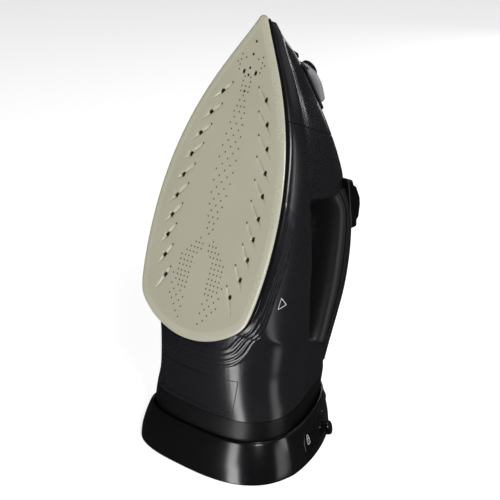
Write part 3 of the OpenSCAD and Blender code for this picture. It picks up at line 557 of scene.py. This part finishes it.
def gripHalf(name, low, high, node):  # half of the tube between two angles, as a wall with narrow lips
    us = np.linspace(grip["start"], grip["end"], grip["rings"])
    arc = soften(gripArc(us, low + 0.8, high - 0.8, grip["around"]), 8, 0, False)
    middle = gripArc(us, 0, 360, 9)[:, :8].mean(1, keepdims=True)
    inside = middle + (arc[:, ::-1] - middle) * grip["wall"]
    lipA, lipB = (middle + (arc[:, k] - middle) * grip["lip"] for k in (slice(0, 1), slice(-1, None)))
    rings = np.concatenate([lipA, arc, lipB, inside], 1)
    loft(name, fromIron(rings), "gripPlastic", "iron", replaces=[node], slot="handle_plastic", sharp=50)


gripHalf("gripTop", 0, 180, "handle_top")
gripHalf("gripUnder", 180, 360, "handle_underside")
print("handle made")


def hullOutline(points, radius, count, directions=1440):
    # outline round circles of one radius at convex points, evenly spaced
    q = np.radians(np.linspace(0, 360, directions, endpoint=False))
    n = np.stack([np.cos(q), np.sin(q)], -1)
    line = points[np.argmax(n @ points.T, 1)] + radius * n
    line = np.vstack([line, line[:1]])
    run = np.concatenate([[0], np.cumsum(np.linalg.norm(np.diff(line, axis=0), axis=1))])
    at = np.linspace(0, run[-1], count, endpoint=False)
    return np.stack([np.interp(at, run, line[:, 0]), np.interp(at, run, line[:, 1])], -1)


def pebble(points, sideLow, sideHigh, radius, count=120, layers=9):
    # rings across x of a hull of equal balls: at side + r sin(q) the outline has radius r cos(q)
    points = np.asarray(points, float)
    rings = []
    for side, qs in ((sideLow, np.linspace(-89, 0, layers)), (sideHigh, np.linspace(0, 89, layers))):
        for q in np.radians(qs):
            line = hullOutline(points, radius * np.cos(q), count)
            rings.append(np.column_stack([np.full(count, side + radius * np.sin(q)), line]))
    return np.array(rings)


pod = {"profile": [[124, 106], [124, 109], [116, 116], [107, 120.5], [96, 124.5], [94.5, 121]],
       "half": 14.5, "radius": 2.0}
keys = {"profile": [[121, 114], [120.5, 117.5], [114.5, 123.5], [110, 125.6], [102, 127.2], [100, 126],
                    [100.5, 123]], "inner": 2.6, "outer": 12.2, "radius": 2.0}
loft("keyPod", fromIron(pebble(pod["profile"], -pod["half"], pod["half"], pod["radius"])), "glossBlack",
     "iron", replaces=["key_pod"], slot="gloss_black")
for name, node, low, high in (("steamKey", "steam_key", -keys["outer"], -keys["inner"]),
                              ("sprayKey", "spray_key", keys["inner"], keys["outer"])):
    loft(name, fromIron(pebble(keys["profile"], low, high, keys["radius"])), "glossBlack", node,
         replaces=[node], slot="gloss_black")

filler = {"door": [[190.4, 45.4], [188.0, 52.4], [182.6, 58.8], [174.4, 65.6]],
          "doorHalf": [3.6, 5.6, 6.8, 6.3], "doorRadius": 3.7,
          "bezel": [[191, 40.6], [168.3, 65.2]], "bezelHalf": [6.4, 9.4], "bezelRadius": 2.4}


def ballHull(spine, halves, radius, count=90, layers=16):
    # rings round a spine of balls whose spread across x changes along it
    spine, halves = np.asarray(spine, float), np.asarray(halves, float)
    run = np.concatenate([[0], np.cumsum(np.linalg.norm(np.diff(spine, axis=0), axis=1))])
    at = np.linspace(0, run[-1], count)
    s, h, w = (np.interp(at, run, v) for v in (spine[:, 0], spine[:, 1], halves))
    line = soften(np.stack([s, h, w], -1), 40, 0, False)
    tangent = np.gradient(line[:, :2], axis=0)
    tangent /= np.linalg.norm(tangent, axis=1, keepdims=True)
    normal = np.stack([-tangent[:, 1], tangent[:, 0]], -1)
    q = np.radians(np.arange(0, 360, 5))
    c, d = np.sign(np.cos(q)) * np.abs(np.cos(q)) ** 0.8, np.sign(np.sin(q)) * np.abs(np.sin(q)) ** 0.8

    def ringAt(k, wide, r):
        return np.stack([(line[k, 2] * wide + r) * c, line[k, 0] + normal[k, 0] * r * d,
                         line[k, 1] + normal[k, 1] * r * d], -1)

    rings = [ringAt(k, 1.0, radius) for k in range(count)]
    low, high = [], []
    for g in np.radians(np.linspace(8, 88, layers)):
        r, shift = radius * np.cos(g), radius * np.sin(g)
        for k, out, sign in ((0, low, -1), (count - 1, high, 1)):
            ring = ringAt(k, 1.0 - 0.25 * np.sin(g) ** 2, r)
            ring[:, 1:] += sign * tangent[k] * shift
            out.append(ring)
    return np.array(low[::-1] + rings + high)


for name, part, finish, body, node, slot in (
        ("fillerDoor", "door", "doorSmoke", "filler_door", "filler_door", "grey_door"),
        ("fillerBezel", "bezel", "glossBlack", "iron", "filler_bezel", "gloss_black")):
    rings = ballHull(filler[part], filler[part + "Half"], filler[part + "Radius"])
    loft(name, fromIron(rings), finish, body, replaces=[node], slot=slot)

nozzle = {"profile": [[195.8, 32], [198.6, 31], [197.6, 37.5], [196.2, 38.5]], "half": 2.2, "radius": 1.0}
rings = pebble(nozzle["profile"], -nozzle["half"], nozzle["half"], nozzle["radius"], 80, 6)
loft("sprayNozzle", fromIron(rings), "glossBlack", "iron", replaces=["spray_nozzle"], slot="gloss_black")

# the dial: turned profile with finger notches round its rim
# profile is radius, h
dial = {"at": 84.0, "notches": 24, "notch": 0.55,
        "profile": [[0.1, 68], [17.6, 68], [18.7, 68.4], [19, 69.2], [19, 80.6], [18.6, 81.5], [17.6, 82],
                    [14.4, 82], [13.4, 81.5], [0.1, 81.4]]}
q = np.radians(np.arange(0, 360, 1.25))
cut = dial["notch"] * (0.5 + 0.5 * np.cos(q * dial["notches"])) ** 3
rings = []
for r, h in np.array(dial["profile"]):
    shown = r - cut * step(r, 15, 18.5)
    rings.append(np.stack([shown * np.cos(q), dial["at"] + shown * np.sin(q), np.full(len(q), h)], -1))
loft("temperatureDial", fromIron(np.array(rings)), "bandPlastic", "temperature_dial",
     replaces=["temperature_dial"], slot="matte_black")
print("controls made")

# a fine frame in the heel's front, and a small open triangle on the skirt's side
rowSkin = fromIron(skin).reshape(-1, 3)
label = {"lowHalf": 34.0, "highHalf": 37.0, "low": 43.0, "high": 66.0, "line": 0.6, "lift": 0.06}
mark = {"at": (38.5, 26.5), "size": 4.4, "line": 0.38, "lift": 0.05}
blend = 1.6  # reach of the surface fit under both


def polyline(corners, per):  # points along a closed outline
    corners = np.asarray(corners, float)
    ahead = np.roll(corners, -1, 0)
    t = np.arange(per)[None, :, None] / per
    return (corners[:, None] * (1 - t) + ahead[:, None] * t).reshape(-1, 2)


def ribbonEdges(line, width, closed=True):  # the two edges beside a line
    line = np.asarray(line, float)
    t = np.roll(line, -1, 0) - np.roll(line, 1, 0) if closed else np.gradient(line, axis=0)
    n = np.stack([t[:, 1], -t[:, 0]], -1) / np.linalg.norm(t, axis=1, keepdims=True)
    return np.concatenate([line + n * width / 2, line - n * width / 2])


def between(values, low, high):
    return (values > low) & (values < high)


frontSkin = rowSkin[(rowSkin[:, 1] < -25) & between(rowSkin[:, 0], -50, 50) & between(rowSkin[:, 2], 35, 80)]
labelLine = polyline([(-label["lowHalf"], label["low"]), (label["lowHalf"], label["low"]),
                      (label["highHalf"], label["high"]), (-label["highHalf"], label["high"])], 60)
edges = ribbonEdges(labelLine, label["line"])
depthY = overSurface(edges, frontSkin[:, [0, 2]], frontSkin[:, 1], blend)
labelPoints = np.stack([edges[:, 0], depthY - label["lift"], edges[:, 1]], -1)
labelQuads = facing(labelPoints, gridQuads(2, len(labelLine), wrapCols=True), np.array([0, 0, 56.0]))
makePiece("labelFrame", labelPoints, [labelQuads], ["bandPlastic"], "iron", slot="matte_black")
sideSkin = skin[(skin[..., 0] > 20) & between(skin[..., 1], 20, 52) & between(skin[..., 2], 14, 46)]
angle = np.radians([0, 120, 240])
corners = np.array(mark["at"]) + mark["size"] * np.stack([np.sin(angle), np.cos(angle)], -1)
edges = ribbonEdges(polyline(corners, 16), mark["line"])
across = overSurface(edges, sideSkin[:, 1:], sideSkin[:, 0], blend)
markPoints = fromIron(np.stack([across + mark["lift"], edges[:, 0], edges[:, 1]], -1))
markQuads = facing(markPoints, gridQuads(2, len(edges) // 2, wrapCols=True),
                   fromIron(np.array([0, 36, 29.0])))
makePiece("moulderMark", markPoints, [markQuads], ["iconWhite"], "iron", slot="body_plastic")
print("marks made")

# wall profile: half width, front reach, back reach, height
dock = {"widestY": -24.0, "around": 360, "turn": 27.5, "wall": [
    [61.6, 39.4, 91.6, 0], [63.6, 41.4, 93.6, 0], [64.2, 42, 94, 0.7], [63.4, 41.2, 93.4, 8], [61, 38.6, 91.6, 17],
    [58.2, 35.6, 89.9, 24.6], [57.4, 34.9, 89.3, 26], [56.6, 34.3, 88.6, 26.5], [55.9, 33.7, 87.7, 26.1],
    [55.6, 33.4, 87.2, 25], [55.3, 33.2, 83.6, 12], [55.2, 33.1, 83, 9.6]]}


def planRing(a, frontReach, backReach, z, count):
    # blunt in front, as a superellipse; behind, the width falls as (1 - v^1.35)^(1/1.6)
    q = np.linspace(0, np.pi, count // 2 + 1)
    y = dock["widestY"] - np.where(q < np.pi / 2, frontReach, backReach) * np.cos(q)
    v = y - dock["widestY"]
    fore = np.clip(1 - np.clip(-v / frontReach, 0, 1) ** 2.8, 0, 1) ** (1 / 2.8)
    aft = np.clip(1 - np.clip(v / backReach, 0, 1) ** 1.35, 0, 1) ** (1 / 1.6)
    x = a * np.where(v < 0, fore, aft)
    half = np.stack([x, y], -1)
    run = np.concatenate([[0], np.cumsum(np.linalg.norm(np.diff(half, axis=0), axis=1))])
    at = np.linspace(0, run[-1], count // 2 + 1)
    half = np.stack([np.interp(at, run, half[:, 0]), np.interp(at, run, half[:, 1])], -1)
    both = np.vstack([half, (half * [-1, 1])[-2:0:-1]])
    return np.column_stack([both, np.full(len(both), z)])


def wallRows(table, sub):  # the wall profile with each step of it split
    table = np.asarray(table, float)
    return tableRows(table, np.linspace(0, len(table) - 1, (len(table) - 1) * sub + 1))


dockRings = np.array([planRing(a, f, b, z, dock["around"]) for a, f, b, z in wallRows(dock["wall"], 5)])
loft("dockShell", dockRings, "dockPlastic", "dock", capStart=False, capEnd=False, replaces=["dock_shell"],
     slot="dock_plastic", sharp=50)

# profile is the share of the outline and how far that ring stands off the wall
lockPanel = {"centre": -7.0, "height": 11.8, "half": 25.0, "rise": 7.5, "corner": 6.0,
             "profile": ((1.0, -0.8), (1.0, 0.1), (0.985, 0.38), (0.96, 0.5), (0.75, 0.5), (0.5, 0.5), (0.25, 0.5),
                         (0.02, 0.5))}
turn = np.radians(dock["turn"])
outerWall = wallRows(dock["wall"][2:8], 8)


def onWall(along, z, lift):  # a point of the dock's outer wall, by place along the side panel and height
    along, z, lift = np.broadcast_arrays(along, z, lift)
    out = []
    for q, h, grow in zip(along.ravel(), z.ravel(), lift.ravel()):
        a, f, b = (np.interp(h, outerWall[:, 3], outerWall[:, k]) + grow for k in (0, 1, 2))
        ring = planRing(a, f, b, h, 240)[30:121]
        local = -np.sin(turn) * ring[:, 0] + np.cos(turn) * ring[:, 1]
        out.append([np.interp(q, local, ring[:, 0]), np.interp(q, local, ring[:, 1]), h])
    return np.array(out).reshape(along.shape + (3,))


def roundedRect(half, rise, corner, count):  # outline of a rectangle with round corners
    a, b = half - corner, rise - corner
    return hullOutline(np.array([[a, b], [-a, b], [-a, -b], [a, -b]]), corner, count)


rect = roundedRect(lockPanel["half"], lockPanel["rise"], lockPanel["corner"], 72)
rings = [onWall(lockPanel["centre"] + rect[:, 0] * k, lockPanel["height"] + rect[:, 1] * k, lift)
         for k, lift in lockPanel["profile"]]
loft("lockPanel", rings, "glossBlack", "dock", capStart=False, replaces=["lock_panel"], slot="gloss_black",
     outward=(20, 0, 12))

# the padlock printed on the panel
icon = {"at": (-25.5, 14.0), "shackle": (1.25, 1.5), "rise": 2.6, "case": (1.9, 1.75, 0.5), "keyhole": (-0.5, 0.6),
        "lift": 0.56}
arc = np.radians(np.linspace(-20, 200, 22))
shackle = np.stack([icon["at"][0] + icon["shackle"][0] * np.cos(arc),
                    icon["at"][1] + icon["rise"] + icon["shackle"][1] * np.sin(arc)], -1)
case = roundedRect(*icon["case"], 40) + np.array(icon["at"])
keyhole = np.stack([np.full(6, icon["at"][0]), icon["at"][1] + np.linspace(*icon["keyhole"], 6)], -1)
for name, line, width, closed in (("iconShackle", shackle, 0.42, False), ("iconCase", case, 0.42, True),
                                  ("iconKeyhole", keyhole, 0.55, False)):
    edges = ribbonEdges(line, width, closed)
    strip = onWall(edges[:, 0], edges[:, 1], icon["lift"])
    quads = facing(strip, gridQuads(2, len(line), wrapCols=closed), np.array([0, 0, 12.0]))
    makePiece(name, strip, [quads], ["iconWhite"], "dock", slot="gloss_black")

# the lock knob: a turned button tilted with the wall
knob = {"centre": (52.9, 9.0, 8.6), "tilt": 75.0,
        "profile": ((0.05, 0.0), (4.7, 0.0), (5.0, 0.4), (5.0, 2.2), (4.6, 2.8), (3.9, 3.0), (3.4, 2.75),
                    (0.05, 2.7))}
q = np.radians(np.arange(0, 360, 5))
rings = np.array([np.stack([r * np.cos(q), r * np.sin(q), np.full(len(q), z)], -1)
                  for r, z in knob["profile"]])
tilt = np.radians(knob["tilt"])
tilted = np.stack([rings[..., 0] * np.cos(tilt) + rings[..., 2] * np.sin(tilt), rings[..., 1],
                   -rings[..., 0] * np.sin(tilt) + rings[..., 2] * np.cos(tilt)], -1) + np.array(knob["centre"])
turned = np.stack([tilted[..., 0] * np.cos(turn) - tilted[..., 1] * np.sin(turn),
                   tilted[..., 0] * np.sin(turn) + tilted[..., 1] * np.cos(turn), tilted[..., 2]], -1)
loft("lockKnob", turned, "glossBlack", "lock_slider", replaces=["lock_slider"], slot="matte_black")
print("dock made")

# CAD parts that are shown as they are, by finish
carried = {
    "castAluminium": ["heater_casting", "steam_chamber_lid"],
    "steel": ["heating_element", "thermal_fuse", "steam_spring", "spray_spring", "door_hinge_pin",
        "sole_screws", "handle_screws", "latch_keeper", "dock_screws", "lock_bar"],
    "brass": ["thermostat", "dial_spindle", "heel_sockets", "contact_pins"],
    "bandPlastic": ["heel_plate", "dock_base_plate", "dock_tray", "cord_gland"],
    "whitePlastic": ["steam_plunger", "spray_plunger", "steam_pump", "spray_pump", "drip_valve",
        "spray_tube", "heel_socket_block", "contact_block", "mains_terminal"],
    "clearTank": ["water_tank"],
    "gasketRubber": ["door_seal", "dock_feet"],
    "wireRed": ["wire_harness"]}
for finish, nodes in carried.items():
    for node in nodes:
        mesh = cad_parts[node].data
        mesh.materials.clear()
        mesh.materials.append(finishes[finish])

stage = {"floorZ": -0.8, "floorSize": 12.0,
         "camera": (0.6323, -0.6227, 0.4322), "aim": (-0.02435, 0.02395, 0.1247), "lens": 100.35,
         "world": 0.5, "floorGlow": 0.68}


def plane(name, w, h, material):  # a rectangle with half sides w and h
    mesh = bpy.data.meshes.new(name)
    mesh.from_pydata([(-w, -h, 0), (w, -h, 0), (w, h, 0), (-w, h, 0)], [], [(0, 1, 2, 3)])
    mesh.materials.append(material)
    sheet = bpy.data.objects.new(name, mesh)
    bpy.context.scene.collection.objects.link(sheet)
    return sheet


floor = plane("floor", stage["floorSize"] / 2, stage["floorSize"] / 2, finishes["floorPaper"])
floor.location.z = stage["floorZ"] / 1000
floor.visible_glossy = False  # the dark plastics stay dark beside the lit paper

paper = finishes["floorPaper"].node_tree.nodes["Principled BSDF"]
paper.inputs["Emission Color"].default_value = (1, 1, 1, 1)
paper.inputs["Emission Strength"].default_value = stage["floorGlow"]
bpy.context.scene.view_settings.view_transform = "Standard"
world = bpy.data.worlds.new("studio")
world.use_nodes = True
world.node_tree.nodes["Background"].inputs["Strength"].default_value = stage["world"]
bpy.context.scene.world = world

# reflector cards, seen in glossy reflections only: place, size across and up, brightness, what they face
cards = {"front": ((0.085, -0.505, -0.11), (0.15, 0.34), 11.0, (0.0, -0.09, 0.06)),
         "flank": ((0.50, 0.22, -0.04), (0.16, 0.30), 1.8, (0.04, 0.0, 0.07))}
for name, (place, size, gain, target) in cards.items():
    lit = bpy.data.materials.new(name + "Card")
    lit.use_nodes = True
    shader = lit.node_tree.nodes["Principled BSDF"]
    shader.inputs["Emission Color"].default_value = (1, 1, 1, 1)
    shader.inputs["Emission Strength"].default_value = gain
    lit.cycles.emission_sampling = "NONE"
    card = plane(name + "Card", size[0] / 2, size[1] / 2, lit)
    card.location = place
    card.rotation_mode = "QUATERNION"
    card.rotation_quaternion = (Vector(target) - Vector(place)).to_track_quat("Z", "Y")
    card.visible_camera = card.visible_diffuse = card.visible_shadow = card.visible_transmission = False

# softboxes, all facing the iron's middle: place, size across and up, power in W
boxes = {"key": ((1.55, -0.75, 1.25), (0.6, 0.6), 28), "front": ((0.10, -1.55, 0.30), (0.4, 0.7), 9),
         "right": ((1.25, 0.95, 0.42), (0.2, 0.75), 2.5), "behind": ((-0.60, 1.60, 0.40), (0.25, 0.7), 1.6),
         "top": ((0.1, 0.3, 1.9), (1.2, 1.2), 8), "back": ((0.4, 1.7, 1.1), (1.0, 0.8), 1.0)}
for name, (place, size, power) in boxes.items():
    lamp = bpy.data.lights.new(name, "AREA")
    lamp.shape = "RECTANGLE"
    lamp.size, lamp.size_y = size
    lamp.energy = power
    box = bpy.data.objects.new(name, lamp)
    box.location = place
    box.rotation_mode = "QUATERNION"
    box.rotation_quaternion = (Vector((0, 0, 0.14)) - Vector(place)).to_track_quat("-Z", "Y")
    bpy.context.scene.collection.objects.link(box)

lens = bpy.data.cameras.new("view")
lens.lens = stage["lens"]
lens.sensor_width = 36
camera = bpy.data.objects.new("view", lens)
camera.location = stage["camera"]
camera.rotation_mode = "QUATERNION"
camera.rotation_quaternion = (Vector(stage["aim"]) - Vector(stage["camera"])).to_track_quat("-Z", "Y")
bpy.context.scene.collection.objects.link(camera)
bpy.context.scene.camera = camera
print("stage made")
